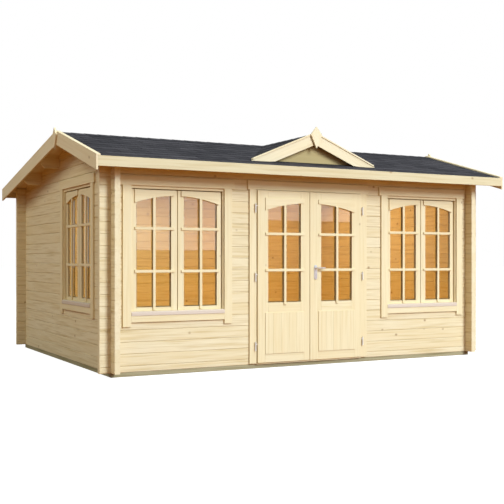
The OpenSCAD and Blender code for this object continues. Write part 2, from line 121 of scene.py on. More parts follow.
def shell(points, grain, tone):
    """Tube faces: ring point (i, j) joins (i, j+1), (i+1, j+1) and (i+1, j), and both ends are closed."""
    rows, ring = points.shape[:2]
    index = np.arange(rows * ring).reshape(rows, ring)
    after = np.roll(index, -1, axis=1)
    quads = np.stack([index[:-1], after[:-1], after[1:], index[1:]], axis=-1).reshape(-1, 4)
    ends = np.zeros((rows, ring))
    ends[[0, -1]] = 1
    return {"points": points.reshape(-1, 3), "quads": quads, "ends": ends.ravel(),
            "caps": [index[0, ::-1], index[-1]],
            "grain": np.broadcast_to(grain, points.shape).reshape(-1, 3),
            "tone": np.full(rows * ring, tone)}


def timber(low, high, along, ease=0.0015, at=None, limits=None, lift=None, section=None,
           heart=None, tone=None):
    """Point (i, j) = station i on the axis, section point j held between the limits of station i,
    plus its lift. limits has a row for each station: lower and upper for each of the two axes that
    follow the long one."""
    low, high = np.asarray(low, float), np.asarray(high, float)
    b, c = (along + 1) % 3, (along + 2) % 3
    if section is None:
        section = eased(high[b] - low[b], high[c] - low[c], ease) + [low[b], low[c]]
    at = np.array([low[along], high[along]] if at is None else at, float)
    full = np.tile([low[b], high[b], low[c], high[c]], (len(at), 1))
    limits = full if limits is None else np.array(limits, float)
    lift = np.zeros((len(at), 3)) if lift is None else np.array(lift, float)
    order = np.r_[0, 0:len(at), len(at) - 1]
    stations = at[order]
    tip = min(ease, (at[-1] - at[0]) / 4)
    stations[1:-1] = np.clip(at, at[0] + tip, at[-1] - tip)
    held, moved = limits[order], lift[order]
    held[[0, -1]] += np.array([1, -1, 1, -1]) * tip
    points = np.zeros((len(order), len(section), 3))
    points[:, :, along] = stations[:, None]
    points[:, :, b] = np.clip(section[None, :, 0], held[:, :1], np.maximum(held[:, 1:2], held[:, :1]))
    points[:, :, c] = np.clip(section[None, :, 1], held[:, 2:3], np.maximum(held[:, 3:4], held[:, 2:3]))
    if heart is None:
        angle, reach = chance.uniform(0, 2 * np.pi), chance.uniform(0.03, 0.09)
        heart = (reach * np.cos(angle), reach * np.sin(angle))
    grain = np.stack([points[..., along] + chance.uniform(0, 40),
                      points[..., b] - (low[b] + high[b]) / 2 + heart[0],
                      points[..., c] - (low[c] + high[c]) / 2 + heart[1]], axis=-1)
    return shell(points + moved[:, None, :], grain, chance.uniform(0, 1) if tone is None else tone)


def lift_by(height):
    """A lift for each station: nothing along X and Y, and a height along Z."""
    height = np.asarray(height, float)
    return np.stack([np.zeros_like(height), np.zeros_like(height), height], axis=1)


def turned(parts, quarters, shift):
    """Each point turned about Z by whole quarter turns, then moved by the shift."""
    cosine, sine = [(1, 0), (0, 1), (-1, 0), (0, -1)][quarters % 4]
    matrix = np.array([[cosine, sine, 0], [-sine, cosine, 0], [0, 0, 1]], float)
    return [dict(part, points=part["points"] @ matrix + np.asarray(shift, float)) for part in parts]


print("section of an eased board has", len(eased(0.1, 0.02, 0.0015)), "points")

# %% [markdown]
# ## From timbers to one object
# Stations that share a place leave faces with no area. Points of one timber that coincide
# are merged, and a face that loses a corner becomes a triangle or goes. The points of two
# different timbers are never merged, so their joint stays a joint.

# %% Join the timbers of a piece
def area(ring):
    """Size of a flat ring's area: half the length of the sum of its corners' cross products."""
    return np.linalg.norm(np.cross(ring, np.roll(ring, -1, axis=0)).sum(axis=0)) / 2


def piece(name, parts, body, finish, nodes=(), smooth=None):
    """One object from many closed shells, which rides on a body and stands for measured nodes."""
    sizes = [len(part["points"]) for part in parts]
    starts = np.concatenate([[0], np.cumsum(sizes)[:-1]])
    points = np.concatenate([part["points"] for part in parts])
    owner = np.repeat(np.arange(len(parts)), sizes)
    key = np.column_stack([owner, np.round(points * 1e6)]).astype(np.int64)
    _, first, same = np.unique(key, axis=0, return_index=True, return_inverse=True)
    same = same.reshape(-1)
    quads = same[np.concatenate([part["quads"] + start for part, start in zip(parts, starts)])]
    a, b, c, d = quads.T
    folded = (a == c) | (b == d)
    equal = np.stack([a == b, b == c, c == d, d == a], axis=1)
    whole = quads[(equal.sum(axis=1) == 0) & ~folded]
    once = (equal.sum(axis=1) == 1) & ~folded
    left_out = [[1, 2, 3], [0, 2, 3], [0, 1, 3], [0, 1, 2]]
    threes = [quads[once & equal[:, k]][:, left_out[k]] for k in range(4)]
    faces = whole.tolist() + np.concatenate(threes).tolist()
    for part, start in zip(parts, starts):
        for cap in part["caps"]:
            ring = [k for k, _ in itertools.groupby(same[np.asarray(cap) + start].tolist())]
            ring = ring[:-1] if len(ring) > 1 and ring[0] == ring[-1] else ring
            if len(set(ring)) > 2 and area(points[first][ring]) > 1e-9:
                faces.append(ring)
    mesh = bpy.data.meshes.new(name)
    mesh.from_pydata(points[first].tolist(), [], faces)
    grain = np.concatenate([part["grain"] for part in parts])[first]
    tone = np.concatenate([part["tone"] for part in parts])[first]
    ends = np.concatenate([part["ends"] for part in parts])[first]
    mesh.attributes.new("grain", "FLOAT_VECTOR", "POINT").data.foreach_set("vector", grain.ravel())
    mesh.attributes.new("tone", "FLOAT", "POINT").data.foreach_set("value", tone)
    mesh.attributes.new("ends", "FLOAT", "POINT").data.foreach_set("value", ends)
    made = bpy.data.objects.new(name, mesh)
    bpy.context.scene.collection.objects.link(made)
    mesh.materials.append(finish)
    if smooth:
        mesh.shade_smooth()
        mesh.set_sharp_from_angle(angle=math.radians(smooth))
    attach(made, body)
    if nodes:
        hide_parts(*nodes)
    print(f"{name}: {len(parts)} parts, {len(faces)} faces")
    return made


print("timbers are joined by piece()")

# %% [markdown]
# ## The wood finish
# Spruce is pale, with darker lines of late growth about the heart, fine fibres and broader
# streaks along the log, and small knots where branches left it. A plank texture could be
# painted, but it would repeat, and it wouldn't agree with the end grain. This finish works
# in the timber's own log: the distance from the heart gives the rings, stretched noise
# gives the fibres and streaks, and a cell pattern gives the knots. On the sawn ends the
# streaks are fainter.

# %% Helpers for shader nodes
def node(tree, kind, settings=None, **inputs):
    """A shader node. An input is named, or i0, i1 by its number, and gets a value or a link."""
    made = tree.nodes.new("ShaderNode" + kind)
    for key, value in (settings or {}).items():
        setattr(made, key, value)
    for key, value in inputs.items():
        numbered = key[0] == "i" and key[1:].isdigit()
        socket = made.inputs[int(key[1:])] if numbered else made.inputs[key.replace("_", " ")]
        if isinstance(value, bpy.types.NodeSocket):
            tree.links.new(value, socket)
        else:
            socket.default_value = value
    return made


def math_of(tree, operation, first, second=0.0):
    """The result of one arithmetic step."""
    return node(tree, "Math", {"operation": operation}, i0=first, i1=second).outputs[0]


def times(tree, first, second):
    """first times second."""
    return math_of(tree, "MULTIPLY", first, second)


def plus(tree, first, second):
    """first plus second."""
    return math_of(tree, "ADD", first, second)


def attribute(tree, name, output="Fac"):
    """What the mesh stores under a name."""
    return node(tree, "Attribute", {"attribute_name": name}).outputs[output]


def noise(tree, place, detail, scale=1.0, stretch=None):
    """Noise over a place, which may be stretched along each axis first."""
    if stretch:
        place = node(tree, "Mapping", None, Vector=place, Scale=stretch).outputs[0]
    return node(tree, "TexNoise", None, Vector=place, Scale=scale, Detail=detail).outputs[0]


def emboss(tree, shader, height, strength, distance):
    """A bump on the shader from a height."""
    bump = node(tree, "Bump", None, Height=height, Strength=strength, Distance=distance)
    tree.links.new(bump.outputs[0], shader.inputs["Normal"])


def spread(tree, value, low, high, to_low, to_high):
    """value carried from the range low to high on to another range, and held inside it."""
    return node(tree, "MapRange", None, Value=value, From_Min=low, From_Max=high,
                To_Min=to_low, To_Max=to_high).outputs[0]


def blend(tree, factor, first, second, kind="MIX"):
    """Two colours mixed by a factor."""
    made = node(tree, "Mix", {"data_type": "RGBA", "blend_type": kind}, i0=factor, i6=first, i7=second)
    return made.outputs[2]


def finish_start(name, **constants):
    """A material with only its shader and output, and the shader's constant values."""
    material = bpy.data.materials.new(name)
    material.use_nodes = True
    tree = material.node_tree
    tree.nodes.clear()
    shader = node(tree, "BsdfPrincipled", None, **constants)
    output = tree.nodes.new("ShaderNodeOutputMaterial")
    tree.links.new(shader.outputs[0], output.inputs[0])
    return material, tree, shader


print("shader helpers ready")


# %% Wood
KNOT_BROWN = (0.30, 0.16, 0.07, 1)


def wood(name, pale, deep, warm, ring=0.0045, contrast=0.5, knots=0.2, rough=0.62, relief=0.12):
    """Colour = pale to deep by rings, streaks and fibres, warmed by the timber's tone, with knots."""
    material, tree, shader = finish_start(name, Specular_IOR_Level=0.3)
    grain = attribute(tree, "grain", "Vector")
    tone = attribute(tree, "tone")
    drift = noise(tree, grain, 2.0, stretch=(0.9, 9, 9))
    across = node(tree, "VectorMath", {"operation": "MULTIPLY"}, i0=grain, i1=(0, 1, 1)).outputs[0]
    reach = node(tree, "VectorMath", {"operation": "LENGTH"}, i0=across).outputs["Value"]
    wavy = plus(tree, reach, times(tree, drift, 0.035))
    wave = math_of(tree, "SINE", times(tree, wavy, 2 * math.pi / ring))
    late = math_of(tree, "POWER", spread(tree, wave, -1, 1, 0, 1), 2.2)
    fibre = noise(tree, grain, 3.0, stretch=(5, 330, 330))
    cloud = noise(tree, grain, 1.0, stretch=(2.2, 16, 16))
    streak = noise(tree, grain, 2.0, stretch=(1.7, 48, 48))
    fibres = times(tree, spread(tree, fibre, 0.35, 0.7, 0, 1), 0.4 * contrast)
    streaks = spread(tree, streak, 0.46, 0.70, -0.1 * contrast, 1.1 * contrast)
    lines = plus(tree, plus(tree, times(tree, late, 0.35 * contrast), fibres), streaks)
    fainter = spread(tree, attribute(tree, "ends"), 0, 1, 1, 0.35)
    lines = times(tree, spread(tree, lines, 0, 1.6, 0, 1.6), fainter)
    colour = blend(tree, lines, (*pale, 1), (*deep, 1))
    warmth = times(tree, plus(tree, tone, spread(tree, cloud, 0.3, 0.7, -0.4, 0.5)), 0.5)
    colour = blend(tree, spread(tree, warmth, 0, 1, 0, 1), colour, (*warm, 1))
    spots = node(tree, "Mapping", None, Vector=grain, Scale=(5, 6, 6)).outputs[0]
    cells = node(tree, "TexVoronoi", None, Vector=spots, Scale=1.0)
    lot = node(tree, "SeparateColor", None, Color=cells.outputs["Color"]).outputs[0]
    near = spread(tree, cells.outputs["Distance"], 0.12, 0.04, 0, 1)
    knot = times(tree, near, math_of(tree, "LESS_THAN", lot, knots))
    colour = blend(tree, times(tree, knot, 0.72), colour, KNOT_BROWN)
    tree.links.new(colour, shader.inputs["Base Color"])
    tree.links.new(spread(tree, fibre, 0.2, 0.8, rough - 0.07, rough + 0.1), shader.inputs["Roughness"])
    emboss(tree, shader, plus(tree, times(tree, late, 0.4), fibre), relief, 0.0012)
    return material


log_wood = wood("spruce_logs", (0.80, 0.685, 0.44), (0.59, 0.445, 0.21), (0.73, 0.58, 0.315),
                contrast=0.6, knots=0.6)
board_wood = wood("planed_spruce", (0.78, 0.66, 0.43), (0.65, 0.50, 0.265), (0.73, 0.585, 0.34),
                  contrast=0.4, knots=0.12)
# The dormer lining's wood is darker than the other boards. That is painted shade, for the shade in its
# recess that the lamps alone don't give.
lining_wood_painted_shade = wood("spruce_painted_shade", (0.49, 0.385, 0.175), (0.41, 0.29, 0.12), (0.46, 0.345, 0.15),
                   contrast=0.4, knots=0.1)
joinery_wood = wood("joinery_pine", (0.80, 0.68, 0.42), (0.67, 0.52, 0.25), (0.76, 0.61, 0.335),
                    ring=0.003, contrast=0.4, knots=0.05, rough=0.55)
# The fascias' wood is darker than the other boards. That is painted shade, which the lamps alone don't
# give.
fascia_wood_painted_shade = wood("fascia_spruce_painted_shade", (0.66, 0.565, 0.345), (0.53, 0.41, 0.21), (0.60, 0.48, 0.26),
                   contrast=0.5, knots=0.15)
# The drip rails' wood is greyer and darker than the joinery's. The darkness is painted shade, which the
# lamps alone don't give.
drip_rail_wood_painted_shade = wood("pine_painted_shade", (0.67, 0.555, 0.43), (0.59, 0.465, 0.34), (0.63, 0.51, 0.385),
                   contrast=0.3, knots=0.0)
floor_wood = wood("floor_spruce", (0.76, 0.58, 0.35), (0.58, 0.38, 0.18), (0.68, 0.48, 0.26), knots=0.3)
foundation_wood = wood("impregnated_pine", (0.42, 0.36, 0.21), (0.27, 0.23, 0.11), (0.35, 0.30, 0.16),
                       contrast=0.8, knots=0.25, rough=0.8, relief=0.35)
print("wood finishes made")

# %% [markdown]
# ## Shingles, glass and metal
# Bitumen shingles carry crushed slate: dark grains with pale specks, each strip a little
# lighter or darker than the next. Glass is clear, with the faint unevenness of a drawn
# pane. The hinges are zinc plated and the handle is satin aluminium.

# %% Other finishes
CHARCOAL, GREY, SPECK, DARK = [(*colour, 1) for colour in (
    (0.029, 0.026, 0.027), (0.090, 0.081, 0.081), (0.18, 0.165, 0.165), (0.024, 0.022, 0.023))]


def slate_grit(name):
    """Colour = charcoal with a fine speckle, a slow cloud and the strip's own tone."""
    material, tree, shader = finish_start(name, Specular_IOR_Level=0.25)
    place = node(tree, "TexCoord").outputs["Object"]
    grit = noise(tree, place, 2.0, scale=420.0)
    cloud = noise(tree, place, 3.0, scale=5.0)
    speck = node(tree, "TexVoronoi", None, Vector=place, Scale=260.0).outputs["Distance"]
    colour = blend(tree, spread(tree, grit, 0.4, 0.62, 0, 1), CHARCOAL, GREY)
    colour = blend(tree, spread(tree, speck, 0.18, 0.05, 0, 0.5), colour, SPECK)
    shade = plus(tree, times(tree, attribute(tree, "tone"), 0.5), times(tree, cloud, 0.6))
    colour = blend(tree, spread(tree, shade, 0.25, 0.85, 0, 0.9), colour, DARK)
    tree.links.new(colour, shader.inputs["Base Color"])
    tree.links.new(spread(tree, grit, 0.3, 0.7, 0.82, 0.98), shader.inputs["Roughness"])
    emboss(tree, shader, plus(tree, grit, speck), 0.5, 0.0015)
    return material


def metal(name, colour, darker, rough, scale, shine):
    """Colour and roughness follow a fine brushed noise."""
    material, tree, shader = finish_start(name, Metallic=shine)
    place = node(tree, "TexCoord").outputs["Object"]
    brushed = noise(tree, place, 3.0, stretch=scale)
    tree.links.new(blend(tree, brushed, (*colour, 1), (*darker, 1)), shader.inputs["Base Color"])
    tree.links.new(spread(tree, brushed, 0.2, 0.8, rough - 0.06, rough + 0.1), shader.inputs["Roughness"])
    emboss(tree, shader, brushed, 0.05, 0.0004)
    return material


def pane_glass(name):
    """Clear glass whose face rises and falls by a very small slow noise."""
    material, tree, shader = finish_start(name, Roughness=0.0, IOR=1.45, Transmission_Weight=1.0,
                                          Base_Color=(0.97, 0.985, 0.97, 1))
    place = node(tree, "TexCoord").outputs["Object"]
    emboss(tree, shader, noise(tree, place, 1.0, scale=2.5), 0.03, 0.002)
    return material


shingle_grit = slate_grit("bitumen_shingle")
zinc = metal("zinc_plate", (0.90, 0.86, 0.78), (0.76, 0.73, 0.66), 0.50, (60, 60, 400), 0.15)
satin = metal("satin_aluminium", (0.93, 0.91, 0.90), (0.80, 0.79, 0.79), 0.42, (300, 300, 40), 0.7)
clear = pane_glass("window_pane")
for name, finish, slot in [("window_glass", clear, "glass"), ("left_door_glass", clear, "glass"),
                           ("right_door_glass", clear, "glass"), ("door_hinge_pins", zinc, "zinc"),
                           ("left_hinge_knuckles", zinc, "zinc"), ("right_hinge_knuckles", zinc, "zinc")]:
    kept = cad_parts[name]
    kept.data.materials.clear()
    kept.data.materials.append(finish)
print("finishes on the kept nodes set")

# %% [markdown]
# ## Foundation and floor
# Beams treated against rot lie under the walls, with joists between them, and tongued
# boards run over the joists. Each is a timber with slightly rounded edges.

# %% Foundation timbers
low, high = box("foundation_frame")
BEAM, JOIST = 0.070, 0.045
inner_low, inner_high = low + [BEAM, BEAM, 0], high - [BEAM, BEAM, 0]
parts = [timber((low[0], y, 0), (high[0], y + BEAM, BASE), 0, 0.003)
         for y in (low[1], high[1] - BEAM)]
parts += [timber((x, inner_low[1], 0), (x + BEAM, inner_high[1], BASE), 1, 0.003)
          for x in (low[0], high[0] - BEAM)]
for x in np.linspace(inner_low[0], inner_high[0], 9)[1:-1]:
    parts.append(timber((x - JOIST / 2, inner_low[1], 0), (x + JOIST / 2, inner_high[1], BASE), 1, 0.003))
piece("foundation_timbers", parts, "cabin", foundation_wood, ["foundation_frame"])

# %% Floor boards
low, high = box("floor")
rows = np.linspace(low[1], high[1], 30)
FLOOR_GAP = 0.0008
parts = [timber((low[0], a, low[2]), (high[0], b - FLOOR_GAP, high[2]), 0, 0.001)
         for a, b in zip(rows, rows[1:])]
piece("floor_planks", parts, "cabin", floor_wood, ["floor"])

# %% [markdown]
# ## The log walls
# The logs of the front and rear start half a course lower than those of the gables. Where
# two walls cross, each log is notched above and below to half of its height, so the logs
# lock. A window or door cuts some logs short and notches others. So each course is first
# split at every edge of an opening, a crossing or a purlin, the allowed heights are found
# for each stretch, and each unbroken run becomes one timber.

# %% Lay a wall of logs
def log_section(inner, outer, bottom, top, groove=0.005, deep=0.0045, slit=0.0006):
    """Rectangle with cut corners and a shallow step, which make a V groove and a narrow dark slit
    with the log above and below. One corner is given, and the others are its mirror images."""
    corner = np.array([(0, groove), (deep, slit), (0.012, slit), (0.012, 0)])
    flip = corner[::-1]
    return np.concatenate([[inner, bottom] + corner, [outer, bottom] + flip * [-1, 1],
                           [outer, top] - corner, [inner, top] + flip * [1, -1]])


def log_wall(inner, outer, start, stop, joints, openings, crossings, roof):
    """Logs along X between two faces. An opening is (x0, x1, z0, z1), a crossing is the x0 and x1
    of the other wall, and roof(x) gives the height above which nothing stands."""
    parts = []
    for bottom, top in zip(joints, joints[1:]):
        full = COURSE if top - bottom < COURSE * 0.99 and bottom > joints[0] else top - bottom
        cuts = {start, stop}
        for x0, x1 in [opening[:2] for opening in openings] + list(crossings):
            cuts |= {x0, x1}
        line = np.linspace(start, stop, 4001)
        for height in (bottom, top):
            above = roof(line) > height
            for k in np.nonzero(above[1:] != above[:-1])[0]:
                share = (height - roof(line[k])) / (roof(line[k + 1]) - roof(line[k]))
                cuts.add(float(line[k] + share * (line[k + 1] - line[k])))
        cuts = sorted(x for x in cuts if start <= x <= stop)
        run = []
        for x0, x1 in list(zip(cuts, cuts[1:])) + [(stop, stop)]:
            low, highs = bottom, [min(top, float(roof(x))) for x in (x0, x1)]
            middle = (x0 + x1) / 2
            for a, b, z0, z1 in openings:
                if a < middle < b and z0 < top and z1 > bottom:
                    if z1 >= top:
                        highs = [min(z, z0) for z in highs]
                    else:
                        low = max(low, z1)
            for a, b in crossings:
                if a < middle < b:
                    low = max(low, bottom + (0.25 * full if bottom > joints[0] or full == COURSE else 0))
                    highs = [min(z, bottom + (0.75 if full == COURSE else 0.5) * full) for z in highs]
            gone = x1 - x0 < 1e-6 or max(highs) - low < 0.004
            if not gone:
                run += [(x0, low, highs[0]), (x1, low, highs[1])]
            if run and (gone or x1 == stop):
                data = np.array(run)
                held = np.stack([np.full(len(run), inner), np.full(len(run), outer), data[:, 1],
                                 np.maximum(data[:, 2], data[:, 1])], axis=1)
                angle = chance.uniform(0, 2 * np.pi)
                parts.append(timber((data[0, 0], inner, bottom), (data[-1, 0], outer, top), 0, 0.0012,
                                    at=data[:, 0], limits=held,
                                    section=log_section(inner, outer, bottom, top),
                                    heart=(0.03 * np.cos(angle), 0.05 * np.sin(angle))))
                run = []
    return parts


def joints_from(first, roof_top):
    """Heights of the joints: the foundation, then every course from the first joint."""
    return [BASE] + list(np.arange(first, roof_top, COURSE)) + [roof_top]


def half_joints(roof_top):
    """Joints of a wall whose first course is half a course high."""
    return joints_from(BASE + COURSE / 2, roof_top)


def level(height):
    """A roof line that is the same height all along."""
    return lambda x: np.full(np.shape(x), height)


left_hole, right_hole = box("left_window_frame"), box("right_window_frame")
door_hole = box("door_frame")
openings = [(low[0], high[0], low[2], high[2]) for low, high in (left_hole, right_hole)]
openings.append((door_hole[0][0], door_hole[1][0], 0.0, door_hole[1][2]))
corners = [(-HALF, -HALF + LOG), (HALF - LOG, HALF)]
eave_top = float(roof_z(FRONT)) - UNDER
parts = log_wall(FRONT, FRONT + LOG, -HALF - END, HALF + END, half_joints(eave_top), openings, corners,
                 level(eave_top))
piece("front_logs", parts, "cabin", log_wood,
      ["front_wall_left", "front_wall_right", "front_wall_over_door"])
rear_top = float(roof_z(REAR)) - UNDER
parts = log_wall(REAR - LOG, REAR, -HALF - END, HALF + END, half_joints(rear_top), [], corners,
                 level(rear_top))
piece("rear_logs", parts, "cabin", log_wood, ["rear_wall"])

# %% The gable walls, laid along X and then turned a quarter
PURLIN_W, PURLIN_H = LOG, 0.150
purlins_y = RIDGE_Y + (REAR - LOG / 2 - RIDGE_Y) / 3 * np.arange(3)
FAR = 9.0
seats = [(y - PURLIN_W / 2, y + PURLIN_W / 2, float(roof_z(y)) - UNDER - PURLIN_H, FAR) for y in purlins_y]
low, high = box("gable_window_frame")
gable_hole = (low[1], high[1], low[2], high[2])
gable_joints = joints_from(BASE + COURSE, RIDGE_Z - UNDER)
sides = [(FRONT, FRONT + LOG), (REAR - LOG, REAR)]
for name, x, holes in (("left_gable", -HALF, [gable_hole]), ("right_gable", HALF - LOG, [])):
    parts = log_wall(-x - LOG, -x, FRONT - END, REAR + END, gable_joints, holes + seats, sides,
                     lambda y: roof_z(y) - UNDER)
    piece(f"{name}_logs", turned(parts, 1, (0, 0, 0)), "cabin", log_wood, [f"{name}_wall"])

# %% [markdown]
# ## Roof timbers
# Purlins carry the roof boards from gable to gable, and their lower corners are cut back
# where they show. The boards run from ridge to eave, tongued, with a small V at each joint.

# %% Purlins
def purlin(y):
    """A section with a sloping top, whose lower limit rises over the last stretch at each end."""
    y0, y1 = y - PURLIN_W / 2, y + PURLIN_W / 2
    foot = float(roof_z(y)) - UNDER - PURLIN_H
    tops = roof_z(np.array([y0, y, y1])) - UNDER
    ease = 0.002
    section = np.array([(y0, foot + ease), (y0 + ease, foot), (y1 - ease, foot), (y1, foot + ease),
                        (y1, tops[2]), (y, tops[1]), (y0, tops[0])])
    cut = 0.45 * PURLIN_H
    at = np.array([-BARGE, -BARGE + cut, BARGE - cut, BARGE])
    held = np.array([(y0, y1, z, FAR) for z in (foot + cut, foot, foot, foot + cut)])
    return timber((-BARGE, y0, foot), (BARGE, y1, float(tops[1])), 0, ease, at=at, limits=held,
                  section=section)


piece("roof_purlins", [purlin(y) for y in purlins_y], "cabin", log_wood,
      ["ridge_purlin", "rear_purlins"])

# %% Roof boards
def sloping_boards(y0, y1, x0, x1, width, top, bottom, ease=0.002):
    """Boards side by side along X; each is lifted at both ends to the height of the roof."""
    edges = np.linspace(x0, x1, max(2, int(round((x1 - x0) / width)) + 1))
    lift = lift_by(roof_z([y0, y1]))
    return [timber((a, y0, -bottom), (b, y1, -top), 1, ease, lift=lift) for a, b in zip(edges, edges[1:])]


for name, y0, y1 in (("front", EAVE_FRONT + BOARD, RIDGE_Y), ("rear", RIDGE_Y, EAVE_REAR - BOARD)):
    parts = sloping_boards(y0, y1, -BARGE, BARGE, 0.096, COVER, UNDER)
    piece(f"roof_boarding_{name}", parts, "cabin", board_wood, [f"roof_boards_{name}"])

# %% [markdown]
# ## Shingles
# Each course overlaps the one below, so the roof's face is a shallow saw-tooth, with slots
# between the tabs that are shifted by half a tab from course to course. Every tab is a thin
# slab of a few dozen faces that lies a little differently from its neighbours, over one
# sheet of underlay.

# %% Lay the shingles of a slope
EXPOSED, TAB, THICK = 0.145, 0.333, 0.0036
UNDERLAY = 0.003
CAP_STEP, CAP_LONG = 0.15, 0.19
CAP_LIFT = lift_by([0.0022, -0.0015])


def shingle_slope(y_low, y_high, x0, x1):
    """Tabs from the eave (y_low) up to the ridge (y_high). The height of a tab's face is the roof's
    height plus a lift that falls from its lower edge to its upper edge."""
    up = np.sign(y_high - y_low)
    slope = SLOPE_FRONT if up > 0 else SLOPE_REAR
    step = EXPOSED / math.hypot(1, slope)
    ends = sorted((y_low, y_high))
    parts = [timber((x0, ends[0], -COVER), (x1, ends[1], -COVER + UNDERLAY), 1, 0.001,
                    lift=lift_by(roof_z(ends)), tone=0.9)]
    for row in range(int(np.ceil(abs(y_high - y_low) / step))):
        foot = y_low + up * row * step
        head = y_low + up * min((row + 1) * step + 0.03, abs(y_high - y_low))
        shift = (row % 2) * TAB / 2 + chance.uniform(-0.02, 0.02)
        for x in np.arange(x0 - TAB + shift, x1, TAB):
            a, b = max(x + chance.uniform(0.0, 0.002), x0), min(x + TAB - chance.uniform(0.003, 0.006), x1)
            if b - a < 0.02:
                continue
            wander = up * chance.uniform(-0.003, 0.003)
            y = np.array(sorted((foot + (wander if row else 0), head)))
            raised = np.array([0.0012 + chance.uniform(0, 0.0012), -0.0035])[::int(up)]
            lift = lift_by(roof_z(y) + raised)
            parts.append(timber((a, y[0], -THICK), (b, y[1], 0), 1, 0.0012, lift=lift))
    return parts


piece("shingles_front", shingle_slope(EAVE_FRONT + 0.003, RIDGE_Y, -BARGE, BARGE), "cabin",
      shingle_grit, ["roof_covering_front"])
piece("shingles_rear", shingle_slope(EAVE_REAR - 0.003, RIDGE_Y, -BARGE, BARGE), "cabin",
      shingle_grit, ["roof_covering_rear"])


# %% Ridge shingles, folded over the ridge
UNHELD = np.tile([-FAR, FAR, -FAR, FAR], (2, 1))


def ridge_cap(x0, x1):
    """A bent slab: outer line along both slopes, inner line a thickness below it."""
    y = RIDGE_Y + np.array([-0.125, -0.012, 0.012, 0.125])
    top = np.minimum(roof_z(y), RIDGE_Z - 0.002) + 0.0045
    outer = np.stack([y, top], axis=1)
    section = np.concatenate([outer - [0, THICK], outer[::-1]])
    return timber((x0, y[0], RIDGE_Z), (x1, y[-1], RIDGE_Z), 0, 0.0005, limits=UNHELD, lift=CAP_LIFT,
                  section=section)


caps = [ridge_cap(x, min(x + CAP_LONG, BARGE)) for x in np.arange(-BARGE, BARGE, CAP_STEP)]
piece("ridge_shingles", caps, "cabin", shingle_grit)

# %% [markdown]
# ## The edges of the roof
# A fascia closes each eave and a pair of bargeboards each gable, cut plumb at the ridge
# where a pointed finial covers the joint. A flat strip lies over the edge of the shingles.

# %% Fascias, bargeboards, strips and finials
for side in ("front", "rear"):
    low, high = box(f"{side}_fascia")
    piece(f"{side}_fascia_board", [timber(low, high, 0, 0.002)], "cabin", fascia_wood_painted_shade,
          [f"{side}_fascia"])


def pitched(x0, x1, bottom, top, ease=0.002):
    """Two boards that follow the roof from the ridge to both eaves, each with plumb ends."""
    return [timber((x0, y0, bottom), (x1, y1, top), 1, ease, lift=lift_by(roof_z([y0, y1])))
            for y0, y1 in ((EAVE_FRONT, RIDGE_Y), (RIDGE_Y, EAVE_REAR))]


BARGE_H = 0.138
STRIP_W, STRIP_T = 0.045, 0.016
for side, x0, x1 in (("left", -VERGE, -BARGE), ("right", BARGE, VERGE)):
    piece(f"{side}_bargeboard_pair", pitched(x0, x1, -BARGE_H, 0), "cabin", board_wood,
          [f"{side}_bargeboards"])
parts = pitched(VERGE - STRIP_W, VERGE, 0, STRIP_T) + pitched(-VERGE, -VERGE + STRIP_W, 0, STRIP_T)
piece("verge_caps", parts, "cabin", board_wood, ["verge_strips"])


def finial(node_box, across):
    """A pointed board: its half width rises in a straight line from nothing at the tip to the widest
    place, and falls again to nothing at the foot."""
    low, high = node_box
    shoulder = high[2] - 0.088
    z = np.array([low[2], low[2] + 0.004, shoulder, high[2] - 0.004, high[2]])
    middle, half = (low[across] + high[across]) / 2, (high[across] - low[across]) / 2
    width = np.interp(z, [low[2], shoulder, high[2]], [0.0015, half, 0.0015])
    other = 1 - across
    held = np.zeros((len(z), 4))
    held[:, 2 * across], held[:, 2 * across + 1] = middle - width, middle + width
    held[:, 2 * other], held[:, 2 * other + 1] = low[other], high[other]
    return timber(low, high, 2, 0.002, at=z, limits=held)


low, high = box("gable_finials")
right = (np.array([VERGE, low[1], low[2]]), high)
left = (low, np.array([-VERGE, high[1], high[2]]))
piece("gable_finial_pair", [finial(left, 1), finial(right, 1)], "cabin", board_wood,
      ["gable_finials"])
piece("dormer_finial_board", [finial(box("dormer_finial"), 0)], "cabin", board_wood,
      ["dormer_finial"])

# %% [markdown]
# ## The dormer
# A small gable over the door. Its two slopes fall to both sides and die into the main roof,
# so each board and tab has one limit that follows the line where the two roofs meet.

# %% Dormer geometry
low, high = box("dormer_bargeboards")
DORMER_Y = low[1]
PANEL_Y = box("dormer_panel")[0][1]
DORMER_SLOPE = (RIDGE_Z - float(roof_z(DORMER_Y))) / high[0]
print("dormer front", DORMER_Y, "slope", DORMER_SLOPE)


def dormer_z(x):
    """Height of the dormer's roof: the ridge less the slope times the distance from the middle."""
    return RIDGE_Z - DORMER_SLOPE * np.abs(x)


def valley_y(x, depth=0.0):
    """Where a layer of the dormer, a depth below its face, meets the main roof's face."""
    return RIDGE_Y - (DORMER_SLOPE * np.abs(x) + depth) / SLOPE_FRONT


def dormer_layer(x0, x1, top, bottom, y0, ease=0.0012, raised=(0, 0), tone=None, y1=None):
    """A slab between two places on one side, lifted to the dormer's roof and ending at the valley."""
    at = np.linspace(x0, x1, 4)
    lift = lift_by(dormer_z(at) + np.linspace(*raised, 4))
    end = valley_y(at, top + 0.001) if y1 is None else np.minimum(valley_y(at, top + 0.001), y1)
    held = np.tile([y0, 0, -bottom, -top], (4, 1))
    held[:, 1] = np.maximum(end, y0 + 0.001)
    return timber((x0, y0, -bottom), (x1, float(end.max()), -top), 0, ease, at=at, limits=held,
                  lift=lift, tone=tone)


reach = float((RIDGE_Z - roof_z(DORMER_Y + BOARD)) / DORMER_SLOPE)
parts = []
for side in (-1, 1):
    edges = np.linspace(0.001, reach - 0.07, 9)
    for a, b in zip(edges, edges[1:]):
        x0, x1 = sorted((side * a, side * b))
        parts.append(dormer_layer(x0, x1, COVER, UNDER, DORMER_Y + BOARD))
piece("dormer_boarding", parts, "cabin", board_wood, ["dormer_roof_boards"])

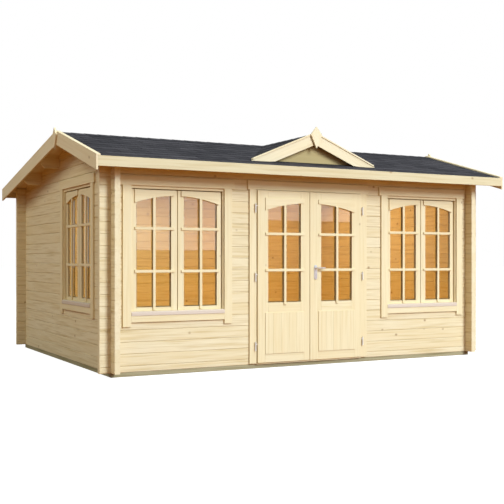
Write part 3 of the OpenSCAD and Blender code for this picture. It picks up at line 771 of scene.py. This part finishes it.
parts = []
for side in (-1, 1):
    x0, x1 = sorted((side * 0.001, side * (reach - 0.03)))
    parts.append(dormer_layer(x0, x1, COVER - UNDERLAY, COVER, DORMER_Y + BOARD, tone=0.9))
    step = EXPOSED * 0.92
    for row in range(int(np.ceil(reach / step))):
        foot, head = reach - 0.012 - row * step, max(reach - 0.012 - (row + 1) * step - 0.03, 0.001)
        shift = (row % 2) * TAB / 2 + chance.uniform(-0.02, 0.02)
        for y in np.arange(DORMER_Y + BOARD - TAB + shift, RIDGE_Y, TAB):
            y0, y1 = max(y, DORMER_Y + BOARD), y + TAB - 0.004
            if y1 - y0 < 0.03 or y0 > float(valley_y(head)) - 0.02:
                continue
            x0, x1 = sorted((side * head, side * foot))
            raised = (-0.0035, 0.0015) if side > 0 else (0.0015, -0.0035)
            parts.append(dormer_layer(x0, x1, 0.0, THICK, y0, raised=raised, y1=y1))
for y in np.arange(DORMER_Y + 0.045, RIDGE_Y - 0.02, CAP_STEP):
    end = min(y + CAP_LONG, RIDGE_Y + 0.02)
    x = np.array([-0.11, -0.012, 0.012, 0.11])
    top = np.minimum(dormer_z(x), RIDGE_Z - 0.003) + 0.004
    outer = np.stack([top, x], axis=1)[::-1]
    section = np.concatenate([outer, outer[::-1] - [THICK, 0]])
    parts.append(timber((x[0], y, RIDGE_Z), (x[-1], end, RIDGE_Z), 1, 0.0005, limits=UNHELD,
                        lift=CAP_LIFT, section=section[::-1]))
piece("dormer_shingles", parts, "cabin", shingle_grit, ["dormer_covering"])


# %% Dormer boards
def dormer_board(side, y0, y1, top, bottom, end, ease=0.002):
    """A board across the front that falls from the middle, its foot held above the main roof."""
    at = np.sort(side * np.linspace(0.0, end, 12))
    floor = float(roof_z(y1)) + 0.0005 - dormer_z(at)
    held = np.tile([y0, y1, 0, top], (12, 1))
    held[:, 2] = np.clip(floor, -bottom, top - 0.001)
    return timber((at[0], y0, -bottom), (at[-1], y1, top), 0, ease, at=at, limits=held,
                  lift=lift_by(dormer_z(at)))


low, high = box("dormer_bargeboards")
parts = [dormer_board(side, low[1] + 0.008, high[1], -0.002, 0.122, high[0] - 0.030) for side in (-1, 1)]
piece("dormer_bargeboard_pair", parts, "cabin", board_wood, ["dormer_bargeboards"])
low, high = box("dormer_verge_strips")
parts = [dormer_board(side, low[1], high[1], STRIP_T, 0.0015, high[0] - 0.028) for side in (-1, 1)]
piece("dormer_verge_caps", parts, "cabin", board_wood, ["dormer_verge_strips"])

low, high = box("dormer_panel")
floor = float(roof_z(PANEL_Y)) + 0.0005
levels = np.arange(floor, RIDGE_Z - UNDER - 0.01, 0.096)
parts = []
for z0, z1 in zip(levels, list(levels[1:]) + [RIDGE_Z - UNDER - 0.004]):
    half = (RIDGE_Z - UNDER - z0) / DORMER_SLOPE - 0.002
    inner = max((RIDGE_Z - UNDER - z1) / DORMER_SLOPE, 0.002)
    at = np.array([-half, -inner, inner, half])
    held = np.array([(low[1], high[1], z0, z) for z in (z0 + 0.001, z1, z1, z0 + 0.001)])
    parts.append(timber((-half, low[1], z0), (half, high[1], z1), 0, 0.0008, at=at, limits=held,
                        section=eased(high[1] - low[1], z1 - z0, 0.0008) + [low[1], z0]))
piece("dormer_lining", parts, "cabin", lining_wood_painted_shade, ["dormer_panel"])

# %% [markdown]
# ## Windows
# Each window is made once, in its own place: X across, Y inwards from the wall's face. It
# is then moved to the wall, and turned for the gable. Linings close the cut logs, facings
# cover the joint, and a drip rail throws water off the sill. A sash has two stiles, a
# bottom rail and a head whose lower edge is an arc. A thin shaped board follows the arc on
# the outside, and a light grille of one upright and two cross bars lies before the glass.

# %% Window sizes
LINING, SILL_BOARD, HEAD_BOARD = 0.028, 0.067, 0.040
OPEN = (right_hole[1][0] - right_hole[0][0]) / 2 - LINING
SILL, TOP = right_hole[0][2] + SILL_BOARD, right_hole[1][2] - HEAD_BOARD
FACING = 0.020
SASH = 0.025, 0.057
STOP = 0.014
SASH_X = 0.004, OPEN - 0.006
BEAD_W, COVER_BEAD = 0.010, 0.018
SASH_TOP = TOP - 0.008
STILE, MEETING, RAIL = 0.050, 0.068, 0.036
ARCH_R = 1.440
ARCH_Z = SASH_TOP - 0.056 - ARCH_R
BAR, BAR_OUT = 0.030, 0.013
CROSS_BARS = (1.059, 1.497)
print("window opening", OPEN * 2, "sill", SILL, "top", TOP)


def arc(x, radius, centre):
    """Height of an arch: its centre plus the upper half of a circle about x = 0."""
    return centre + np.sqrt(radius ** 2 - np.asarray(x, float) ** 2)


def arched(x0, x1, y0, y1, top, radius, centre, ease=0.0015, below=0.0):
    """A board whose lower limit follows the arch."""
    at = np.linspace(x0, x1, 25)
    foot = arc(at, radius, centre) - below
    held = np.stack([np.full(25, y0), np.full(25, y1), foot, np.full(25, top)], axis=1)
    bottom = float(foot.min())
    return timber((x0, y0, bottom), (x1, y1, top), 0, ease, at=at, limits=held)


def sides_of(side, x0, x1):
    """The two ends of a span on the right, or of its mirror image on the left, in rising order."""
    return sorted((side * x0, side * x1))


# %% Linings, sill and drip rail
def surround():
    """Side linings with the stops behind the sashes, then the top stop, the head and the sill."""
    parts = []
    for side in (-1, 1):
        x0, x1 = sides_of(side, OPEN, OPEN + LINING)
        parts.append(timber((x0, 0, SILL), (x1, LOG, TOP), 2))
        x0, x1 = sides_of(side, OPEN - STOP, OPEN)
        parts.append(timber((x0, SASH[1], SILL), (x1, LOG, TOP), 2))
    parts.append(timber((-OPEN + STOP, SASH[1], TOP - STOP), (OPEN - STOP, LOG, TOP), 0))
    parts.append(timber((-OPEN - LINING, 0, TOP), (OPEN + LINING, LOG, TOP + HEAD_BOARD), 0))
    parts.append(timber((-OPEN - LINING, 0, SILL - SILL_BOARD), (OPEN + LINING, LOG, SILL), 0))
    return parts


def drip_rail():
    """A rail along the sill, with a sloping top and a groove below that makes the water drip."""
    edge, top, foot, out = OPEN + 0.0135, SILL - 0.002, SILL - 0.045, 0.026
    section = np.array([(-out, foot + 0.002), (-out + 0.002, foot), (-out + 0.008, foot),
                        (-out + 0.010, foot + 0.004), (-out + 0.014, foot + 0.004), (-out + 0.016, foot),
                        (0, foot), (0, top), (-out + 0.006, top - 0.004), (-out, top - 0.010)])
    return [timber((-edge, -out, foot), (edge, 0, top), 0, section=section)]


def facings():
    """Two upright boards, one across the top that reaches past both, and one below the sill."""
    inner, outer = OPEN + 0.014, OPEN + 0.104
    foot, head = SILL - 0.157, TOP + LINING
    parts = []
    for side in (-1, 1):
        x0, x1 = sides_of(side, inner, outer)
        parts.append(timber((x0, -FACING, foot), (x1, 0, head), 2, 0.002))
    parts.append(timber((-outer - 0.030, -FACING, head), (outer + 0.030, 0, head + 0.095), 0, 0.002))
    parts.append(timber((-inner, -FACING, SILL - 0.112), (inner, 0, SILL - 0.045), 0, 0.002))
    return parts


print("window facings are", FACING, "m thick")


# %% Sashes, arch boards and grilles
def glazing(side, glass, span, face, back, foot, bars, bar_foot, crown, bead_top, deep):
    """Cross bars and an upright before the glass, an upright behind it, and beads around its edge.
    Across, glass and span are pairs of distances from the middle; face and back are places in Y."""
    x0, x1 = sides_of(side, *span)
    parts = [timber((x0, face - BAR_OUT, z - BAR / 2), (x1, face + 0.006, z + BAR / 2), 0, 0.004)
             for z in bars]
    left, right = side * sum(glass) / 2 - BAR / 2, side * sum(glass) / 2 + BAR / 2
    parts.append(timber((left, face - BAR_OUT - 0.001, bar_foot),
                        (right, face + 0.005, crown + 0.004), 2, 0.004))
    parts.append(timber((left, face + deep + 0.001, foot), (right, back, crown), 2, 0.003))
    for a, b in ((glass[0], glass[0] + BEAD_W), (glass[1] - BEAD_W, glass[1])):
        x0, x1 = sides_of(side, a, b)
        parts.append(timber((x0, face + deep, foot), (x1, back - 0.003, bead_top), 2, 0.002))
    x0, x1 = sides_of(side, *glass)
    parts.append(timber((x0, face + deep, foot), (x1, back - 0.003, foot + BEAD_W), 0, 0.002))
    return parts


def sash(side, cross):
    """Stiles, bottom rail and arched head, the arch board, and the glazing."""
    parts = []
    y0, y1 = SASH
    glass0, glass1 = SASH_X[0] + MEETING, SASH_X[1] - STILE
    for a, b in ((SASH_X[0], glass0), (glass1, SASH_X[1])):
        x0, x1 = sides_of(side, a, b)
        parts.append(timber((x0, y0, SILL), (x1, y1, SASH_TOP), 2, 0.002))
    x0, x1 = sides_of(side, glass0, glass1)
    parts.append(timber((x0, y0, SILL), (x1, y1, SILL + RAIL), 0, 0.002))
    parts.append(arched(x0, x1, y0, y1, SASH_TOP, ARCH_R, ARCH_Z))
    span = glass0 - 0.034, glass1 + 0.022
    x0, x1 = sides_of(side, *span)
    parts.append(arched(x0, x1, y0 - 0.014, y0, SASH_TOP - 0.002, ARCH_R, ARCH_Z, below=0.001))
    crown = float(arc(side * (glass0 + glass1) / 2, ARCH_R, ARCH_Z))
    return parts + glazing(side, (glass0, glass1), span, y0, y1, SILL + RAIL, cross, SILL + 0.004,
                           crown, SASH_TOP - 0.060, deep=0.020)


places = {}
for name in ("left", "right"):
    low, high = box(f"{name}_window_frame")
    places[name] = (0, ((low[0] + high[0]) / 2, FRONT, 0))
low, high = box("gable_window_frame")
places["gable"] = (3, (-HALF, (low[1] + high[1]) / 2, COURSE / 2))
facing_parts, rail_parts = [], []
for name, (quarters, shift) in places.items():
    piece(f"{name}_window_surround", turned(surround(), quarters, shift), "cabin", joinery_wood,
          [f"{name}_window_frame"])
    casements = sash(-1, CROSS_BARS) + sash(1, CROSS_BARS)
    casements.append(timber((-COVER_BEAD, SASH[1], SILL + 0.004),
                            (COVER_BEAD, SASH[1] + 0.009, SASH_TOP - 0.004), 2, 0.003))
    rail_parts += turned(drip_rail(), quarters, shift)
    piece(f"{name}_window_casements", turned(casements, quarters, shift), "cabin", joinery_wood,
          [f"{name}_window_sashes"])
    facing_parts += turned(facings(), quarters, shift)
piece("window_facings", facing_parts, "cabin", joinery_wood, ["window_trims"])
piece("window_drip_rails", rail_parts, "cabin", drip_rail_wood_painted_shade)

# %% [markdown]
# ## The door
# The linings have a stop behind the leaves, and a threshold below. A leaf stands a little
# proud of its facings. Its stiles widen above the boarded panel to hold the glass, which
# is one timber with a step in its limits. The panel is tongued boards that stand out from
# the face, as the arch board and the grille do.

# %% Door linings, threshold and facings
low, high = box("door_frame")
DOOR_LINING, DOOR_STOP = 0.032, 0.015
DOOR_CUT, DOOR_TOP = high[0], high[2] - DOOR_LINING
DOOR = DOOR_CUT - DOOR_LINING
THRESHOLD = 0.056
leaf_low, leaf_high = box("right_door_leaf")
PROUD = 0.008
FACE, BACK = leaf_low[1] + PROUD, leaf_high[1]
LEAF_Z, LEAF_TOP, LEAF_EDGE = leaf_low[2], leaf_high[2], leaf_high[0]
STOP_Y = BACK + 0.006
parts = []
for side in (-1, 1):
    x0, x1 = sides_of(side, DOOR, DOOR_CUT)
    parts.append(timber((x0, FRONT, BASE), (x1, FRONT + LOG, high[2]), 2))
    x0, x1 = sides_of(side, DOOR - DOOR_STOP, DOOR)
    parts.append(timber((x0, STOP_Y, THRESHOLD), (x1, FRONT + LOG, DOOR_TOP), 2))
parts.append(timber((-DOOR, FRONT, DOOR_TOP), (DOOR, FRONT + LOG, high[2]), 0))
parts.append(timber((-DOOR + DOOR_STOP, STOP_Y, DOOR_TOP - DOOR_STOP),
                    (DOOR - DOOR_STOP, FRONT + LOG, DOOR_TOP), 0))
parts.append(timber((-DOOR, FRONT - FACING, BASE), (DOOR, FRONT + LOG, THRESHOLD), 0, 0.002))
piece("door_lining", parts, "cabin", joinery_wood, ["door_frame"])
low, high = box("door_trim")
parts = []
for side in (-1, 1):
    x0, x1 = sides_of(side, DOOR, DOOR + 0.084)
    parts.append(timber((x0, low[1], low[2]), (x1, high[1], DOOR_TOP), 2, 0.002))
parts.append(timber((low[0], low[1], DOOR_TOP), (high[0], high[1], high[2]), 0, 0.002))
piece("door_facings", parts, "cabin", joinery_wood, ["door_trim"])

# %% Door leaves
PANEL_IN, PANEL_Z, PANEL_TOP, PANE_Z = 0.095, LEAF_Z + 0.092, LEAF_Z + 0.541, LEAF_Z + 0.650
BEAD = 0.038
DOOR_R = 1.950
DOOR_ARCH = LEAF_TOP - 0.126 - DOOR_R
DOOR_BARS = (1.064, 1.4585)


def leaf(side):
    """Stiles that widen above the panel, rails, five panel boards, the arch boards, and the glazing."""
    parts = []
    low, high = box("right_door_leaf" if side > 0 else "left_door_leaf")
    inner = side * (low[0] if side > 0 else high[0])
    panel0, panel1 = PANEL_IN, LEAF_EDGE - 0.090
    glass0, glass1 = panel0 + BEAD, panel1 - BEAD
    for edge, a, b in ((inner, panel0, glass0), (LEAF_EDGE, panel1, glass1)):
        held = np.array([(*sides_of(side, edge, x), FACE, BACK) for x in (a, a, b, b)])
        parts.append(timber((held[:, 0].min(), FACE, LEAF_Z), (held[:, 1].max(), BACK, LEAF_TOP), 2, 0.002,
                            at=[LEAF_Z, PANEL_TOP, PANEL_TOP, LEAF_TOP], limits=held))
    x0, x1 = sides_of(side, panel0, panel1)
    parts.append(timber((x0, FACE, LEAF_Z), (x1, BACK, PANEL_Z), 0, 0.002))
    boards = np.linspace(x0, x1, 6)
    for a, b in zip(boards, boards[1:]):
        parts.append(timber((a, FACE - PROUD, PANEL_Z), (b, FACE + 0.010, PANEL_TOP), 2, 0.0022))
    x0, x1 = sides_of(side, glass0, glass1)
    parts.append(timber((x0, FACE, PANEL_TOP), (x1, BACK, PANE_Z), 0, 0.002))
    parts.append(arched(x0, x1, FACE, BACK, LEAF_TOP, DOOR_R, DOOR_ARCH))
    x0, x1 = sides_of(side, panel0, panel1)
    parts.append(arched(x0, x1, FACE - 0.010, FACE, LEAF_TOP - 0.080, DOOR_R, DOOR_ARCH, below=0.001))
    crown = float(arc(side * (glass0 + glass1) / 2, DOOR_R, DOOR_ARCH))
    return parts + glazing(side, (glass0, glass1), (panel0, panel1), FACE, BACK, PANE_Z, DOOR_BARS,
                           PANE_Z - 0.030, crown, LEAF_TOP - 0.150, deep=0.024)


piece("left_leaf_joinery", leaf(-1), "left_leaf", joinery_wood, ["left_door_leaf"])
piece("right_leaf_joinery", leaf(1), "right_leaf", joinery_wood, ["right_door_leaf"])

# %% [markdown]
# ## The handle
# A long plate with round ends and a softened rim carries a round lever that leaves the
# plate square and bends along the leaf. Both are tubes: rings of points that follow the
# plate's outline, or the lever's path.

# %% Plate and lever
low, high = box("handle_plate")
lever_low, lever_high = box("door_lever")
plate_x, plate_r = (low[0] + high[0]) / 2, (high[0] - low[0]) / 2
LEVER_Z = (lever_low[2] + lever_high[2]) / 2


def plate_ring(inset, y):
    """Outline of a slot shape: two half circles about the ends, drawn in by the inset."""
    angle = np.linspace(0, 2 * np.pi, 64, endpoint=False) + np.pi / 64
    centre = np.where(np.sin(angle) > 0, high[2] - plate_r, low[2] + plate_r)
    radius = plate_r - inset
    return np.stack([plate_x + radius * np.cos(angle), np.full(64, y), centre + radius * np.sin(angle)],
                    axis=1)


turn = np.linspace(0, np.pi / 2, 6)
RIM = 0.003
rings = [plate_ring(0, high[1])]
rings += [plate_ring(RIM * (1 - math.cos(t)), low[1] + RIM * (1 - math.sin(t))) for t in turn]
plate = shell(np.array(rings), 0, 0.5)


def round_part(centre, radii, ys, count=32):
    """A turned part about an axis along Y: circles of given radii at given places."""
    angle = np.linspace(0, 2 * np.pi, count, endpoint=False)
    radii, ys = np.asarray(radii, float)[:, None], np.asarray(ys, float)[:, None]
    points = np.stack(np.broadcast_arrays(centre[0] + radii * np.cos(angle), ys,
                                          centre[1] + radii * np.sin(angle)), axis=-1)
    return shell(points, 0, 0.5)


front = low[1]
LOCK_Z, SLOT_Z, SLOT_HALF = LEVER_Z - 0.072, LEVER_Z - 0.092, 0.0022
rose = round_part((plate_x, LEVER_Z), (0.0115, 0.0115, 0.0105, 0.009),
                  (front + 0.001, front - 0.0025, front - 0.004, front - 0.004))
lock = round_part((plate_x, LOCK_Z), (0.0085, 0.0085, 0.0075, 0.0030, 0.0030),
                  (front + 0.001, front - 0.0015, front - 0.0022, front - 0.0022, front - 0.0002))
slot = timber((plate_x - SLOT_HALF, front - 0.0016, SLOT_Z), (plate_x + SLOT_HALF, front + 0.001, LOCK_Z),
              2, 0.0004)
slot["grain"] = slot["grain"] * 0
piece("handle_backplate", [plate, rose, lock, slot], "right_leaf", satin,
      ["handle_plate"], smooth=40)


def lever_bar():
    """A circle carried along a path: out from the leaf, round a quarter bend, then along the leaf,
    growing flatter and a little taller towards its rounded tip."""
    out, tip, radius, bend = lever_low[1] + 0.008, lever_high[0], 0.008, 0.018
    start = FACE - 0.0003
    straight = np.linspace(start, out + bend, 5)
    turn = np.linspace(0, np.pi / 2, 12)[1:]
    run = np.linspace(plate_x + bend, tip - radius, 9)[1:]
    end = np.linspace(0, np.pi / 2, 6)[1:]
    x = np.concatenate([np.full(5, plate_x), plate_x + bend * (1 - np.cos(turn)), run,
                        tip - radius + radius * np.sin(end)])
    y = np.concatenate([straight, out + bend - bend * np.sin(turn), np.full(len(run) + len(end), out)])
    heading = np.concatenate([np.zeros(5), turn, np.full(len(run) + len(end), np.pi / 2)])
    size = np.concatenate([np.ones(5 + len(turn) + len(run)), np.cos(end)])
    size = np.maximum(size, 0.02) * radius
    flat = np.clip((x - plate_x) / (tip - plate_x), 0, 1)
    angle = np.linspace(0, 2 * np.pi, 24, endpoint=False)
    side = (size * (1 - 0.25 * flat))[:, None] * np.cos(angle)
    rise = size[:, None] * np.sin(angle)
    points = np.stack([x[:, None] + side * np.cos(heading)[:, None],
                       y[:, None] + side * np.sin(heading)[:, None],
                       np.broadcast_to(LEVER_Z + rise, side.shape)], axis=-1)
    return shell(points, 0, 0.5)


piece("lever_handle", [lever_bar()], "lever", satin, ["door_lever"], smooth=40)

# %% [markdown]
# ## Floor, light and camera
# The floor and the surround are white to the camera. To every other ray the floor throws
# back a little warm light and the surround a little cool light, so that they don't wash out
# the shade under the eaves. A large soft lamp stands high and far to the front right. Weaker
# ones stand above, to the left and behind. Two cards in front are there to be reflected in
# the panes, and two warm lamps in the room make the panes glow.

# %% The stage
def paper():
    """Paper that is white to the camera and throws back a little warm light to everything else."""
    material, tree, shader = finish_start("studio_paper", Roughness=0.95, Specular_IOR_Level=0.1,
                                          Base_Color=(0.4, 0.4, 0.4, 1))
    warm = node(tree, "BsdfDiffuse", None, Color=(0.27, 0.095, 0.018, 1))
    glow = node(tree, "Emission", None, Color=(1, 1, 1, 1), Strength=0.86)
    both = node(tree, "AddShader", None, i0=shader.outputs[0], i1=glow.outputs[0])
    path = node(tree, "LightPath")
    mixed = node(tree, "MixShader", None, Fac=path.outputs["Is Camera Ray"], i1=warm.outputs[0],
                 i2=both.outputs[0])
    output = next(made for made in tree.nodes if made.type == "OUTPUT_MATERIAL")
    tree.links.new(mixed.outputs[0], output.inputs[0])
    return material


def stage_floor():
    """A disc of rings about the cabin, flat at the foot of the foundation."""
    radius = np.array([0.5, 4.0, 12.0, 40.0, 120.0])
    angle = np.linspace(0, 2 * np.pi, 48, endpoint=False)
    points = np.stack([np.outer(radius, np.cos(angle)), np.outer(radius, np.sin(angle)),
                       np.full((len(radius), 48), -0.0005)], axis=-1)
    index = np.arange(len(radius) * 48).reshape(len(radius), 48)
    after = np.roll(index, -1, axis=1)
    quads = np.stack([index[:-1], index[1:], after[1:], after[:-1]], axis=-1).reshape(-1, 4).tolist()
    mesh = bpy.data.meshes.new("studio_floor")
    mesh.from_pydata(points.reshape(-1, 3).tolist(), [], quads + [index[0].tolist()])
    made = bpy.data.objects.new("studio_floor", mesh)
    bpy.context.scene.collection.objects.link(made)
    mesh.materials.append(paper())


stage_floor()
world = bpy.data.worlds.new("studio")
bpy.context.scene.world = world
world.use_nodes = True
tree = world.node_tree
tree.nodes.clear()
seen = node(tree, "Background", None, Color=(1, 1, 1, 1), Strength=1.0)
soft = node(tree, "Background", None, Color=(0.80, 0.90, 1.0, 1), Strength=0.42)
path = node(tree, "LightPath")
mixed = node(tree, "MixShader", None, Fac=path.outputs["Is Camera Ray"], i1=soft.outputs[0],
             i2=seen.outputs[0])
output = tree.nodes.new("ShaderNodeOutputWorld")
tree.links.new(mixed.outputs[0], output.inputs[0])


def lamp(name, place, aim, size, power, colour, reflect=True):
    """A flat lamp at a place, turned so that it shines at its aim."""
    light = bpy.data.lights.new(name, "AREA")
    light.shape = "RECTANGLE"
    light.size, light.size_y = size
    light.energy = power
    light.color = colour
    made = bpy.data.objects.new(name, light)
    bpy.context.scene.collection.objects.link(made)
    made.location = place
    made.rotation_euler = (Vector(aim) - Vector(place)).to_track_quat("-Z", "Y").to_euler()
    made.visible_glossy = reflect
    made.visible_transmission = reflect
    return made


lamp("key_lamp", (9.3, -29.4, 16.4), (0, -1.0, 1.2), (9.5, 13.5), 11900, (0.88, 1.01, 1.20), reflect=False)
lamp("top_lamp", (2.0, -5.0, 15.0), (0, 0, 1.2), (8.0, 8.0), 900, (0.95, 1.0, 1.06), reflect=False)
lamp("side_lamp", (-14.0, -2.0, 10.5), (-2.0, 0, 1.2), (9.0, 6.0), 830, (0.96, 1.0, 0.92), reflect=False)
lamp("rear_lamp", (4.0, 16.0, 8.0), (0, 2.0, 1.2), (9.0, 6.0), 1200, (0.92, 1.0, 1.10), reflect=False)
lamp("card_left", (3.0, -12.4, 2.9), (3.0, 0, 2.9), (3.3, 3.0), 72, (0.9, 1.0, 1.1))
lamp("card_right", (6.5, -12.4, 3.3), (6.5, 0, 3.3), (3.3, 2.3), 52, (0.9, 1.0, 1.1))
lamp("room_lamp_left", (-1.2, 0.0, 2.1), (-1.2, 0.0, 0), (1.6, 2.6), 34, (1.0, 0.84, 0.45), reflect=False)
lamp("room_lamp_right", (1.2, 0.0, 2.1), (1.2, 0.0, 0), (1.6, 2.6), 31, (1.0, 0.64, 0.26), reflect=False)

# %% The camera
camera = bpy.data.cameras.new("camera")
camera.sensor_width, camera.lens = 36.0, 63.47
camera.shift_y = 0.0145
seer = bpy.data.objects.new("camera", camera)
bpy.context.scene.collection.objects.link(seer)
seer.location = (-5.237, -10.163, 1.182)
seer.rotation_euler = (math.radians(90), 0, math.radians(-28.04))
bpy.context.scene.camera = seer
bpy.context.scene.view_settings.view_transform = "Standard"
print("camera at", tuple(seer.location))
